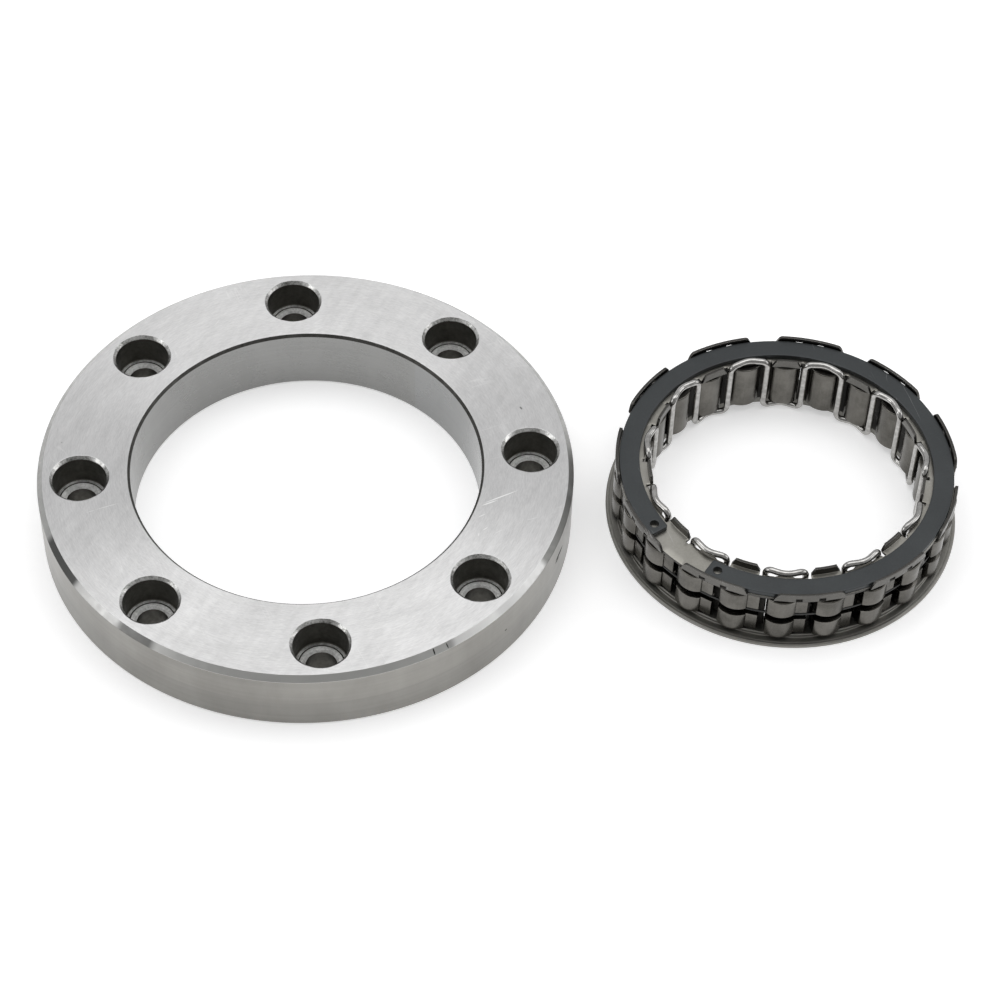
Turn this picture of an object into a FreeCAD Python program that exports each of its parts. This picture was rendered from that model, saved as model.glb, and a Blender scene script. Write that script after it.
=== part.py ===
import FreeCAD, Part
import math
import os
import Sketcher

# Sprag clutch, as it lies on the bench: a bolted outer race and, beside it, the cage that carries
# the sprags, their energizing spring and a split retaining ring.
# Origin: centre of the race's bore on its underside. +Z up, +X towards the cage.

doc = FreeCAD.newDocument("sprag_clutch")

driving_sizes = {
    # the two tracks that the sprags wedge between
    "inner_track_radius": 28.9,
    "track_gap": 8.3,
    # outer race
    "race_wall": 19.55,
    "race_width": 15.2,
    "race_rim_chamfer": 1.15,
    "race_bore_chamfer": 0.55,
    "bolt_count": 8,
    "bolt_start_angle": 4.65,
    "bolt_circle_shift": 0.825,
    "bolt_hole_diameter": 6.6,
    "counterbore_diameter": 11.4,
    "counterbore_depth": 7.0,
    "counterbore_chamfer": 0.6,
    # cage as a whole
    "bench_gap": 7.5,
    "loop_count": 11,
    "first_sprag_angle": 3.2,
    "end_clearance": 0.15,
    # sprag section, seen along its length
    "barrel_radius": 3.3,
    "crest_clearance": 0.47,
    "hump_arc_radius": 4.4,
    "hump_offset": 0.57,
    "hump_back_reach": 3.5,
    "hump_front_reach": 2.4,
    "heel_drop": 0.4,
    "heel_tilt": 0.25,
    "heel_reach": 4.9,
    "heel_thickness": 0.66,
    "heel_root": 1.0,
    # sprag length and its band groove
    "sprag_length": 11.35,
    "groove_height": 2.0,
    "groove_depth": 2.73,
    # garter band that lies in the grooves
    "band_rise": 0.9,
    "band_thickness": 0.4,
    "band_height": 0.55,
    "band_clearance": 0.06,
    # energizing spring, one bent wire
    "wire_diameter": 1.05,
    "wire_flat_count": 8,
    "wire_bend_run_count": 3,
    "wire_leg_setback": 0.4,
    "wire_crown_bow": 1.25,
    "wire_foot_clearance": 0.575,
    "wire_top_rise": 0.725,
    "wire_corner_radius": 1.4,
    "wire_crown_bend": 5.0,
    "wire_end_gap": 1.0,
    # lower cage plate
    "flange_overlap": 0.65,
    "flange_thickness": 0.9,
    "land_setback": 1.13,
    "land_height": 0.8,
    "wire_side_clearance": 0.05,
    # upper cage plate
    "sheet_thickness": 0.6,
    "outer_tab_clearance": 0.7,
    "outer_tab_height": 1.85,
    "outer_tab_root_angle": 24.0,
    "outer_tab_tip_angle": 21.4,
    "outer_tab_step": 0.7,
    "inner_tab_clearance": 0.1,
    "inner_tab_height": 1.65,
    "inner_tab_root_angle": 12.0,
    "inner_tab_tip_angle": 8.8,
    "inner_tab_step": 1.2,
    "relief_depth": 0.4,
    "relief_angle": 1.7,
    "window_width": 1.4,
    "window_height": 0.9,
    "window_spacing": 4.8,
    # bars between the two plates
    "bar_depth": 1.8,
    "bar_width": 1.6,
    # split retaining ring on the upper plate
    "ring_side_clearance": 0.25,
    "ring_width": 4.3,
    "ring_thickness": 1.1,
    "ring_seat_gap": 0.05,
    "ring_gap_angle": 23.2,
    "ring_gap_centre": 224.8,
    "ring_corner_radius": 0.6,
    "plier_hole_diameter": 1.9,
    "plier_hole_inset": 2.1,
}

sheet = doc.addObject("Spreadsheet::Sheet", "Sizes")
for row, (alias, number) in enumerate(driving_sizes.items(), start=1):
    sheet.set(f"A{row}", alias)
    sheet.set(f"B{row}", str(number))
    sheet.setAlias(f"B{row}", alias)
doc.recompute()


class Dim:
    """A dimension that knows both its value and its formula in the sheet's aliases."""

    def __init__(self, value, formula):
        self.value = value
        self.formula = formula

    def __add__(self, other):
        other = as_dim(other)
        return Dim(self.value + other.value, f"({self.formula} + {other.formula})")

    def __sub__(self, other):
        other = as_dim(other)
        return Dim(self.value - other.value, f"({self.formula} - {other.formula})")

    def __mul__(self, other):
        other = as_dim(other)
        return Dim(self.value * other.value, f"({self.formula} * {other.formula})")

    def __truediv__(self, other):
        other = as_dim(other)
        return Dim(self.value / other.value, f"({self.formula} / {other.formula})")

    def __neg__(self):
        return Dim(-self.value, f"(0 - {self.formula})")


def as_dim(number):
    return number if isinstance(number, Dim) else Dim(float(number), repr(float(number)))


def size(alias):
    return Dim(float(driving_sizes[alias]), f"Sizes.{alias}")


def root(dim):
    return Dim(math.sqrt(dim.value), f"sqrt({dim.formula})")


def cosine(angle):
    return Dim(math.cos(math.radians(angle.value)), f"cos({angle.formula})")


def sine(angle):
    return Dim(math.sin(math.radians(angle.value)), f"sin({angle.formula})")


def on_circle(radius, angle):
    return radius * cosine(angle), radius * sine(angle)


# Radii that follow from the driving sizes
outer_track_radius = size("inner_track_radius") + size("track_gap")
race_radius = outer_track_radius + size("race_wall")
bolt_circle_radius = (outer_track_radius + race_radius) / 2 + size("bolt_circle_shift")
flange_radius = outer_track_radius + size("flange_overlap")
cage_distance = race_radius + flange_radius + size("bench_gap")
crest_radius = outer_track_radius - size("crest_clearance")
pivot_radius = size("inner_track_radius") + size("barrel_radius")
groove_floor_radius = crest_radius - size("groove_depth")
band_inner_radius = groove_floor_radius + size("band_rise")
land_radius = crest_radius - size("land_setback")
wire_radius = size("wire_diameter") / 2
wire_leg_radius = size("inner_track_radius") + size("wire_leg_setback")
wire_crown_radius = wire_leg_radius + size("wire_crown_bow")
lower_plate_inner_radius = wire_crown_radius + wire_radius + size("wire_side_clearance")
outer_tab_radius = outer_track_radius - size("outer_tab_clearance")
plate_edge_radius = outer_tab_radius - size("outer_tab_step")
inner_tab_radius = size("inner_track_radius") + size("inner_tab_clearance")
plate_inner_radius = inner_tab_radius + size("inner_tab_step")
ring_outer_radius = outer_tab_radius - size("sheet_thickness") - size("ring_side_clearance")
ring_inner_radius = ring_outer_radius - size("ring_width")

# Heights that follow, from the bench upwards
land_top = size("flange_thickness") + size("land_height")
sprag_foot = land_top + size("end_clearance")
sprag_head = sprag_foot + size("sprag_length")
groove_foot = sprag_foot + (size("sprag_length") - size("groove_height")) / 2
groove_head = groove_foot + size("groove_height")
plate_foot = sprag_head + size("end_clearance")
plate_top = plate_foot + size("sheet_thickness")
ring_foot = plate_top + size("ring_seat_gap")
wire_foot_height = size("wire_foot_clearance") + wire_radius
wire_top_height = plate_top + wire_radius + size("wire_top_rise")

# Angles that follow
sprag_pitch = as_dim(180) / size("loop_count")
first_tab_angle = size("first_sprag_angle") + sprag_pitch


def bind(item, prop, dim):
    item.setExpression(prop, as_dim(dim).formula)


def new_body(label, x=0.0, y=0.0, angle=0.0):
    """A body of its own, placed at x, y and turned about its Z axis."""
    body = doc.addObject("PartDesign::Body", label)
    body.Label = label
    body.Placement = FreeCAD.Placement(
        FreeCAD.Vector(as_dim(x).value, as_dim(y).value, 0),
        FreeCAD.Rotation(FreeCAD.Vector(0, 0, 1), as_dim(angle).value),
    )
    bind(body, "Placement.Base.x", x)
    bind(body, "Placement.Base.y", y)
    bind(body, "Placement.Rotation.Angle", angle)
    return body


def origin_part(body, role):
    return next(part for part in body.Origin.OriginFeatures if part.Role == role)


def new_sketch(body, plane, name):
    sketch = body.newObject("Sketcher::SketchObject", name)
    sketch.AttachmentSupport = (origin_part(body, plane), [""])
    sketch.MapMode = "FlatFace"
    return sketch


def fix(sketch, kind, corner, dim):
    """Holds a point's X or Y from the sketch's origin at a bound dimension."""
    dim = as_dim(dim)
    number = sketch.addConstraint(Sketcher.Constraint(kind, -1, 1, *corner, dim.value))
    bind(sketch, f"Constraints[{number}]", dim)


def draw_circle(sketch, centre, radius):
    across, up = (as_dim(c) for c in centre)
    circle = Part.Circle(
        FreeCAD.Vector(across.value, up.value, 0), FreeCAD.Vector(0, 0, 1), as_dim(radius).value
    )
    edge = sketch.addGeometry(circle, False)
    if centre == (0, 0):
        sketch.addConstraint(Sketcher.Constraint("Coincident", edge, 3, -1, 1))
    else:
        fix(sketch, "DistanceX", (edge, 3), across)
        fix(sketch, "DistanceY", (edge, 3), up)
    number = sketch.addConstraint(Sketcher.Constraint("Radius", edge, as_dim(radius).value))
    bind(sketch, f"Constraints[{number}]", radius)
    return edge


def draw_outline(sketch, corners, arcs=None):
    """A closed outline. arcs gives, for an edge's number, (radius, centre, +1 anticlockwise or -1)."""
    arcs = arcs or {}
    corners = [(as_dim(across), as_dim(up)) for across, up in corners]
    spots = [FreeCAD.Vector(across.value, up.value, 0) for across, up in corners]
    starts = []
    ends = []
    for number, spot in enumerate(spots):
        following = spots[(number + 1) % len(spots)]
        if number not in arcs:
            edge = sketch.addGeometry(Part.LineSegment(spot, following), False)
            starts.append((edge, 1))
            ends.append((edge, 2))
            continue
        radius, centre, turn = arcs[number]
        middle = FreeCAD.Vector(as_dim(centre[0]).value, as_dim(centre[1]).value, 0)
        circle = Part.Circle(middle, FreeCAD.Vector(0, 0, 1), as_dim(radius).value)
        first, last = (spot, following) if turn > 0 else (following, spot)
        begin = math.atan2(first.y - middle.y, first.x - middle.x)
        finish = math.atan2(last.y - middle.y, last.x - middle.x)
        if finish <= begin:
            finish += 2 * math.pi
        edge = sketch.addGeometry(Part.ArcOfCircle(circle, begin, finish), False)
        starts.append((edge, 1 if turn > 0 else 2))
        ends.append((edge, 2 if turn > 0 else 1))
    for number, end in enumerate(ends):
        start = starts[(number + 1) % len(starts)]
        sketch.addConstraint(Sketcher.Constraint("Coincident", *end, *start))
    for start, (across, up) in zip(starts, corners):
        fix(sketch, "DistanceX", start, across)
        fix(sketch, "DistanceY", start, up)
    for number, (radius, _, _) in arcs.items():
        edge = starts[number][0]
        held = sketch.addConstraint(Sketcher.Constraint("Radius", edge, as_dim(radius).value))
        bind(sketch, f"Constraints[{held}]", radius)


def revolve(body, sketch, name):
    feature = body.newObject("PartDesign::Revolution", name)
    feature.Profile = sketch
    feature.ReferenceAxis = (origin_part(body, "Z_Axis"), [""])
    feature.Angle = 360
    doc.recompute()
    return feature


def pad(body, sketch, name, length, foot=None):
    """Raises a sketch of the XY plane by length, from the height foot."""
    if foot is not None:
        sketch.AttachmentOffset = FreeCAD.Placement(
            FreeCAD.Vector(0, 0, as_dim(foot).value), FreeCAD.Rotation()
        )
        bind(sketch, "AttachmentOffset.Base.z", foot)
    feature = body.newObject("PartDesign::Pad", name)
    feature.Profile = sketch
    bind(feature, "Length", length)
    doc.recompute()
    return feature


def cut(body, sketch, name, length, both_ways=False):
    """Pockets along the sketch's normal, or to both sides of it, and checks that metal was cut."""
    before = body.Shape.Volume
    feature = body.newObject("PartDesign::Pocket", name)
    feature.Profile = sketch
    if both_ways:
        feature.Midplane = True
    else:
        feature.Reversed = True
    bind(feature, "Length", length)
    doc.recompute()
    if not body.Shape.Volume < before:
        raise ValueError(f"{body.Label}: {name} cuts nothing")
    return feature


def repeat_round(body, features, name, count):
    pattern = body.newObject("PartDesign::PolarPattern", name)
    pattern.Originals = features
    pattern.Axis = (origin_part(body, "Z_Axis"), [""])
    pattern.Angle = 360
    bind(pattern, "Occurrences", count)
    body.Tip = pattern
    doc.recompute()
    return pattern


def build_outer_race():
    """Thick ring, turned all over, with counterbored holes for cap screws."""
    body = new_body("outer_race", angle=size("bolt_start_angle"))
    bore = outer_track_radius
    rim = race_radius
    top = size("race_width")
    section = new_sketch(body, "XZ_Plane", "race_section")
    draw_outline(section, [
        (bore, 0),
        (rim, 0),
        (rim, top - size("race_rim_chamfer")),
        (rim - size("race_rim_chamfer"), top),
        (bore + size("race_bore_chamfer"), top),
        (bore, top - size("race_bore_chamfer")),
    ])
    revolve(body, section, "race_turning")

    # one screw hole, turned about its own axis: clearance hole, seat, counterbore and mouth
    axis = bolt_circle_radius
    hole = size("bolt_hole_diameter") / 2
    seat = size("counterbore_diameter") / 2
    floor = top - size("counterbore_depth")
    cutter = new_sketch(body, "XZ_Plane", "screw_hole_section")
    draw_outline(cutter, [
        (axis, 0),
        (axis + hole, 0),
        (axis + hole, floor),
        (axis + seat, floor),
        (axis + seat, top - size("counterbore_chamfer")),
        (axis + seat + size("counterbore_chamfer"), top),
        (axis, top),
    ])
    centre_line = Part.LineSegment(
        FreeCAD.Vector(axis.value, 0, 0), FreeCAD.Vector(axis.value, top.value, 0)
    )
    line = cutter.addGeometry(centre_line, True)
    cutter.addConstraint(Sketcher.Constraint("Coincident", line, 1, 0, 1))
    cutter.addConstraint(Sketcher.Constraint("Coincident", line, 2, 6, 1))
    screw_hole = body.newObject("PartDesign::Groove", "screw_hole")
    screw_hole.Profile = cutter
    screw_hole.ReferenceAxis = (cutter, ["Axis0"])
    screw_hole.Angle = 360
    doc.recompute()
    repeat_round(body, [screw_hole], "screw_holes", size("bolt_count"))
    return body


def build_cage_flange():
    """Lower cage plate: a flange wider than the race's bore, and a raised land under the sprags."""
    body = new_body("cage_flange", x=cage_distance)
    inner = lower_plate_inner_radius
    rim = flange_radius
    land = land_radius
    top = size("flange_thickness")
    section = new_sketch(body, "XZ_Plane", "flange_section")
    draw_outline(section, [
        (inner, 0),
        (rim, 0),
        (rim, top),
        (land, top),
        (land, land_top),
        (inner, land_top),
    ])
    revolve(body, section, "flange_turning")
    return body


def build_cage_bars():
    """Bars that hold the two plates apart, one in each gap between sprags."""
    body = new_body("cage_bars", x=cage_distance, angle=first_tab_angle - sprag_pitch / 2)
    body.AllowCompound = True
    half = size("bar_width") / 2
    inner = pivot_radius - size("bar_depth") / 2
    outer = pivot_radius + size("bar_depth") / 2
    section = new_sketch(body, "XY_Plane", "bar_section")
    draw_outline(section, [(inner, -half), (outer, -half), (outer, half), (inner, half)])
    bar = pad(body, section, "bar", plate_foot - land_top, foot=land_top)
    repeat_round(body, [bar], "bars", size("loop_count") * 2)
    return body


def build_cage_top_plate():
    """Upper cage plate of pressed sheet, with upright tabs at both edges."""
    body = new_body("cage_top_plate", x=cage_distance, angle=first_tab_angle)
    sheet_t = size("sheet_thickness")
    outer = outer_tab_radius
    inner = inner_tab_radius
    outer_tip = plate_top + size("outer_tab_height")
    inner_tip = plate_top + size("inner_tab_height")
    section = new_sketch(body, "XZ_Plane", "plate_section")
    draw_outline(section, [
        (inner, plate_foot),
        (outer, plate_foot),
        (outer, outer_tip),
        (outer - sheet_t, outer_tip),
        (outer - sheet_t, plate_top),
        (inner + sheet_t, plate_top),
        (inner + sheet_t, inner_tip),
        (inner, inner_tip),
    ])
    revolve(body, section, "plate_pressing")

    tab_pitch = sprag_pitch * 2
    through = inner_tip * 4
    inner_half = size("inner_tab_root_angle") / 2
    relief = plate_inner_radius + size("relief_depth")
    relief_end = inner_half + size("relief_angle")
    inner_gap = new_sketch(body, "XY_Plane", "inner_gap_outline")
    draw_outline(
        inner_gap,
        [
            on_circle(inner - 1, inner_half),
            on_circle(relief, inner_half),
            on_circle(relief, relief_end),
            on_circle(plate_inner_radius, relief_end),
            on_circle(plate_inner_radius, tab_pitch - relief_end),
            on_circle(relief, tab_pitch - relief_end),
            on_circle(relief, tab_pitch - inner_half),
            on_circle(inner - 1, tab_pitch - inner_half),
        ],
        {3: (plate_inner_radius, (0, 0), 1)},
    )
    inner_gap_cut = cut(body, inner_gap, "inner_gap", through, both_ways=True)

    outer_half = size("outer_tab_root_angle") / 2
    outer_centre = -sprag_pitch / 2
    gap_start = outer_centre + outer_half
    gap_end = outer_centre + tab_pitch - outer_half
    outer_gap = new_sketch(body, "XY_Plane", "outer_gap_outline")
    draw_outline(
        outer_gap,
        [
            on_circle(plate_edge_radius, gap_start),
            on_circle(outer + 1, gap_start),
            on_circle(outer + 1, gap_end),
            on_circle(plate_edge_radius, gap_end),
        ],
        {3: (plate_edge_radius, (0, 0), -1)},
    )
    outer_gap_cut = cut(body, outer_gap, "outer_gap", through, both_ways=True)

    # sloping ends of the inner tabs
    inner_slopes = new_sketch(body, "YZ_Plane", "inner_slope_outline")
    root_reach = (inner + sheet_t) * sine(inner_half)
    tip_reach = inner * sine(size("inner_tab_tip_angle") / 2)
    for side in (1, -1):
        draw_outline(inner_slopes, [
            (root_reach * side, plate_top),
            (tip_reach * side, inner_tip),
            ((root_reach + 1) * side, inner_tip),
        ])
    inner_slope_cut = cut(body, inner_slopes, "inner_tab_slopes", plate_inner_radius)

    # sloping ends and see-through windows of the outer tabs, cut outwards from inside the tab
    start = ring_inner_radius
    outer_cuts = new_sketch(body, "YZ_Plane", "outer_tab_cuts_outline")
    outer_cuts.AttachmentOffset = FreeCAD.Placement(
        FreeCAD.Vector((start * sine(outer_centre)).value, 0, (start * cosine(outer_centre)).value),
        FreeCAD.Rotation(FreeCAD.Vector(0, 1, 0), outer_centre.value),
    )
    bind(outer_cuts, "AttachmentOffset.Base.x", start * sine(outer_centre))
    bind(outer_cuts, "AttachmentOffset.Base.z", start * cosine(outer_centre))
    bind(outer_cuts, "AttachmentOffset.Rotation.Angle", outer_centre)
    root_reach = outer * sine(outer_half)
    tip_reach = outer * sine(size("outer_tab_tip_angle") / 2)
    for side in (1, -1):
        draw_outline(outer_cuts, [
            (root_reach * side, plate_top),
            (tip_reach * side, outer_tip),
            ((root_reach + 1) * side, outer_tip),
        ])
        near = (size("window_spacing") - size("window_width")) / 2
        far = near + size("window_width")
        draw_outline(outer_cuts, [
            (near * side, plate_top),
            (far * side, plate_top),
            (far * side, plate_top + size("window_height")),
            (near * side, plate_top + size("window_height")),
        ])
    outer_cuts_cut = cut(body, outer_cuts, "outer_tab_cuts", outer - start + 1)

    repeat_round(
        body,
        [inner_gap_cut, outer_gap_cut, inner_slope_cut, outer_cuts_cut],
        "tabs",
        size("loop_count"),
    )
    return body


def build_garter_band():
    """Flat band round all the sprags, at the head of their grooves."""
    body = new_body("garter_band", x=cage_distance)
    inner = band_inner_radius
    outer = inner + size("band_thickness")
    top = groove_head - size("band_clearance")
    foot = top - size("band_height")
    section = new_sketch(body, "XZ_Plane", "band_section")
    draw_outline(section, [(inner, foot), (outer, foot), (outer, top), (inner, top)])
    revolve(body, section, "band_ring")
    return body


def build_retaining_ring():
    """Split ring of dark spring steel on the upper plate, with a plier hole near each end."""
    body = new_body("retaining_ring", x=cage_distance, angle=size("ring_gap_centre"))
    outer = ring_outer_radius
    inner = ring_inner_radius
    foot = ring_foot
    face = new_sketch(body, "XY_Plane", "ring_outline")
    draw_circle(face, (0, 0), outer)
    draw_circle(face, (0, 0), inner)
    pad(body, face, "ring_blank", size("ring_thickness"), foot=foot)

    half = size("ring_gap_angle") / 2
    beyond = outer + 3
    gap = new_sketch(body, "XY_Plane", "split_outline")
    draw_outline(gap, [
        (0, 0),
        on_circle(beyond, -half),
        on_circle(beyond, half),
    ])
    cut(body, gap, "split", foot * 4, both_ways=True)

    middle = (outer + inner) / 2
    pliers = new_sketch(body, "XY_Plane", "plier_hole_outline")
    for side in (1, -1):
        along, across = on_circle(middle, half * side)
        inset = size("plier_hole_inset") * side
        centre = (along - inset * sine(half * side), across + inset * cosine(half * side))
        draw_circle(pliers, centre, size("plier_hole_diameter") / 2)
    drilled = cut(body, pliers, "plier_holes", foot * 4, both_ways=True)

    # the four corners at the split are rounded
    ring_angle = half.value
    corners = []
    for number, edge in enumerate(body.Shape.Edges, start=1):
        middle_point = body.Placement.inverse().multVec(edge.CenterOfMass)
        upright = len(edge.Vertexes) == 2 and abs(edge.Length - size("ring_thickness").value) < 1e-6
        bearing = abs(math.degrees(math.atan2(middle_point.y, middle_point.x)))
        if upright and bearing < ring_angle + 0.5:
            corners.append(f"Edge{number}")
    rounding = body.newObject("PartDesign::Fillet", "end_corners")
    rounding.Base = (drilled, corners)
    bind(rounding, "Radius", size("ring_corner_radius"))
    doc.recompute()
    return body


def build_sprag(label, turn):
    """One sprag, drawn about its rocking axis: X runs outwards along the radius, Y anticlockwise."""
    pivot = pivot_radius
    body = new_body(
        label,
        x=cage_distance + pivot * cosine(turn),
        y=pivot * sine(turn),
        angle=turn,
    )
    barrel = size("barrel_radius")
    hump = size("hump_arc_radius")
    hump_centre = (crest_radius - pivot - hump, -size("hump_offset"))
    back = size("hump_back_reach")
    front = size("hump_front_reach")
    back_drop = back - size("hump_offset")
    front_drop = front + size("hump_offset")
    back_height = hump_centre[0] + root(hump * hump - back_drop * back_drop)
    front_height = hump_centre[0] + root(hump * hump - front_drop * front_drop)
    heel_start = front_height - size("heel_drop")
    heel_end = heel_start - size("heel_tilt")
    heel_under = heel_end - size("heel_thickness")
    root_height = size("heel_root")
    root_reach = root(barrel * barrel - root_height * root_height)
    section = new_sketch(body, "XY_Plane", f"{label}_section")
    draw_outline(
        section,
        [
            (0, -barrel),
            (back_height, -back),
            (front_height, front),
            (heel_start, front),
            (heel_end, size("heel_reach")),
            (heel_under, size("heel_reach")),
            (root_height, root_reach),
        ],
        {
            1: (hump, hump_centre, 1),
            6: (barrel, (0, 0), 1),
        },
    )
    pad(body, section, f"{label}_blank", size("sprag_length"), foot=sprag_foot)

    groove = new_sketch(body, "XZ_Plane", f"{label}_groove_outline")
    floor = groove_floor_radius - pivot
    beyond = crest_radius - pivot + 1
    draw_outline(groove, [
        (floor, groove_foot),
        (beyond, groove_foot),
        (beyond, groove_head),
        (floor, groove_head),
    ])
    cut(body, groove, f"{label}_groove", size("heel_reach") * 3, both_ways=True)
    return body


def wire_corners():
    """The bent wire's corners, each with its bend radius: legs between the sprags, joined over the
    head of one sprag and under the foot of the next."""
    legs = 2 * driving_sizes["loop_count"]
    pitch = 360 / legs
    foot = wire_foot_height.value
    top = wire_top_height.value
    crown = wire_crown_radius.value
    corner = driving_sizes["wire_corner_radius"]
    crown_bend = driving_sizes["wire_crown_bend"]

    def point(radius, angle, height):
        turn = math.radians(angle)
        across = cage_distance.value + radius * math.cos(turn)
        return FreeCAD.Vector(across, radius * math.sin(turn), height)

    start = driving_sizes["first_sprag_angle"] + pitch
    half_gap = math.degrees(driving_sizes["wire_end_gap"] / 2 / crown)
    corners = [(point(crown, start + half_gap, foot), 0)]
    for leg in range(legs):
        angle = start + (leg + 0.5) * pitch
        rising = leg % 2 == 0
        near, far = (foot, top) if rising else (top, foot)
        corners.append((point(wire_leg_radius.value, angle, near), corner))
        corners.append((point(wire_leg_radius.value, angle, far), corner))
        if leg < legs - 1:
            corners.append((point(crown, angle + pitch / 2, far), crown_bend))
    corners.append((point(crown, start + 360 - half_gap, foot), 0))
    return corners


def bent_path(corners):
    """The wire's path through its corners. A bend is a few short runs between points of its arc."""
    points = [corners[0][0]]
    for (before, _), (here, radius), (after, _) in zip(corners, corners[1:], corners[2:]):
        back = (before - here).normalize()
        ahead = (after - here).normalize()
        half_angle = back.getAngle(ahead) / 2
        half_turn = math.pi / 2 - half_angle
        inwards = (back + ahead).normalize()
        sideways = (ahead - back).normalize()
        centre = here + inwards * (radius / math.sin(half_angle))
        runs = driving_sizes["wire_bend_run_count"] if half_turn > math.pi / 6 else 1
        for step in range(runs + 1):
            turn = half_turn * (2 * step / runs - 1)
            along = sideways * (radius * math.sin(turn))
            points.append(centre + along - inwards * (radius * math.cos(turn)))
    points.append(corners[-1][0])
    return Part.makePolygon(points)


def build_energizing_spring():
    """One round wire that winds over and under the sprags all the way round the cage. Its section
    is drawn with a few flats and the round wire's area, which keeps its many bends light."""
    path = bent_path(wire_corners())
    start, following = (vertex.Point for vertex in path.Vertexes[:2])
    along = (following - start).normalize()
    across = along.cross(FreeCAD.Vector(0, 0, 1)).normalize()
    upright = across.cross(along)
    flats = driving_sizes["wire_flat_count"]
    area = math.pi * wire_radius.value**2
    reach = math.sqrt(2 * area / (flats * math.sin(2 * math.pi / flats)))
    corners = []
    for number in range(flats):
        turn = 2 * math.pi * (number + 0.5) / flats
        corners.append(start + across * (reach * math.cos(turn)) + upright * (reach * math.sin(turn)))
    section = Part.makePolygon(corners + corners[:1])
    solid = path.makePipeShell([section], True, False, 1)
    if abs(solid.Volume - area * path.Length) > 0.01 * area * path.Length:
        raise ValueError(f"the spring's volume is {solid.Volume:.1f}, not {area * path.Length:.1f}")
    spring = doc.addObject("Part::Feature", "energizing_spring")
    spring.Label = "energizing_spring"
    spring.Shape = solid
    return spring


nodes = [
    build_outer_race(),
    build_cage_flange(),
    build_cage_bars(),
    build_cage_top_plate(),
    build_garter_band(),
    build_retaining_ring(),
    build_energizing_spring(),
]
for place in range(2 * driving_sizes["loop_count"]):
    nodes.append(build_sprag(f"sprag_{place + 1:02d}", size("first_sprag_angle") + sprag_pitch * place))
doc.recompute()

faults = [
    f"{item.Label}: {state}"
    for item in doc.Objects
    for state in item.State
    if state in ("Invalid", "Error")
]
faults += [
    f"{node.Label}: no valid shape"
    for node in nodes
    if node.Shape.isNull() or not node.Shape.isValid()
]
if faults:
    raise ValueError("; ".join(faults))

os.makedirs("parts", exist_ok=True)
for node in nodes:
    node.Shape.exportStep(f"parts/{node.Label}.step")
    print(f"{node.Label}: {len(node.Shape.Solids)} solid, {node.Shape.Volume:.1f} mm3")
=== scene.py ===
# Looks of the sprag clutch: the race and the sprag cage lie side by side on a pale bench.
from functools import reduce

import bmesh
import bpy
import numpy as np
from mathutils import Matrix, Vector


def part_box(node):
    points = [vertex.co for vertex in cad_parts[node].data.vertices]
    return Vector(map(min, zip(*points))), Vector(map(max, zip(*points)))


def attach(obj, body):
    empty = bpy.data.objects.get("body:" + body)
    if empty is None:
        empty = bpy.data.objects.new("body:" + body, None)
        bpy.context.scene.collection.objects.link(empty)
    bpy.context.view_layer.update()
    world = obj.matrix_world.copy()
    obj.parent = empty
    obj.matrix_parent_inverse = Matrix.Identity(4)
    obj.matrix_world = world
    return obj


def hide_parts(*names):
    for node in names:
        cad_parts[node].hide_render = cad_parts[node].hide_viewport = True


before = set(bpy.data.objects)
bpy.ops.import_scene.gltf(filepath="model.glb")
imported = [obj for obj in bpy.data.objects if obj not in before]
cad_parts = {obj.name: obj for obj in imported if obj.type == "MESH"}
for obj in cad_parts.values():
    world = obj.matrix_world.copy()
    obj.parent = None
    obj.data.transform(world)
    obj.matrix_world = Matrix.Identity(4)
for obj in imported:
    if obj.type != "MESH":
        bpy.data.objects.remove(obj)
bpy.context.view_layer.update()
mm = 0.001  # shapes below are worked out in millimetres and put into the mesh in metres
fullTurn = 2 * np.pi
quarterTurn = np.pi / 2
hairDepth = 0.02 * mm  # relief of a fine surface grain


def nodeBox(node):
    # lowest and highest corner of a CAD node, in millimetres
    low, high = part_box(node)
    return np.array(low) / mm, np.array(high) / mm


def addObject(name, data):
    made = bpy.data.objects.new(name, data)
    bpy.context.scene.collection.objects.link(made)
    return made


def joined(*parts):
    # coordinates put together into points; what is shorter is repeated
    return np.stack(np.broadcast_arrays(*parts), -1)


def unit(vectors):
    return vectors / np.linalg.norm(vectors, axis=1)[:, None]


def onCircle(radius, angle):
    # points at these radii and angles (radians) in the plane
    return joined(radius * np.cos(angle), radius * np.sin(angle))


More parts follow.
